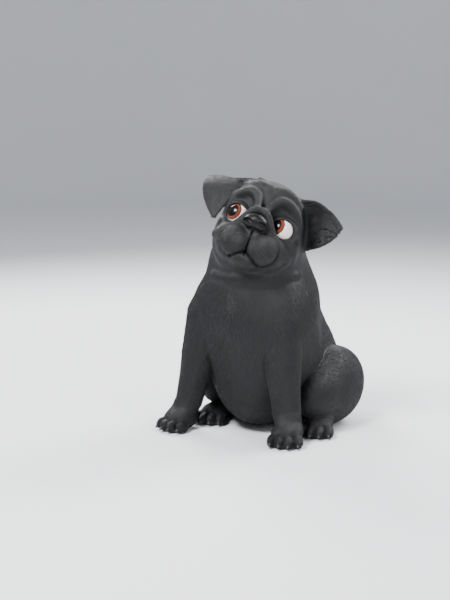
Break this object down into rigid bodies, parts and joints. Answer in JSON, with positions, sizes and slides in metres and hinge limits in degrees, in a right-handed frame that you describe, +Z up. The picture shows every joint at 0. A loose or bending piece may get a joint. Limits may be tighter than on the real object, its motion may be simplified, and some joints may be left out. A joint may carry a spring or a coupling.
{
  "type": "sitting pug model",
  "caption": "Life-size still model of a sitting black pug, its head turned to its left and tilted, its eyes looking up, for display on a floor or plinth.",
  "frame": {"origin": "on the floor under the middle of the dog's bounding box", "axes": "+Z up, -Y the way the dog's chest faces, +X the dog's own left"},
  "size_m": [0.2562, 0.3256, 0.3923],
  "materials": {
    "coat": "short black fur with a soft sheen",
    "nose_leather": "moist black nose leather",
    "eye": "glossy reddish-brown eye"
  },
  "bodies": {
    "root": {"head": "coat", "lower_jaw": "coat", "ear_left": "coat", "ear_right": "coat", "neck": "coat", "chest": "coat", "belly": "coat", "rump": "coat", "foreleg_left": "coat", "foreleg_right": "coat", "forepaw_left": "coat", "forepaw_right": "coat", "thigh_left": "coat", "thigh_right": "coat", "hind_foot_left": "coat", "hind_foot_right": "coat", "tail": "coat", "nose": "nose_leather", "eye_left": "eye", "eye_right": "eye"}
  },
  "joints": []
}
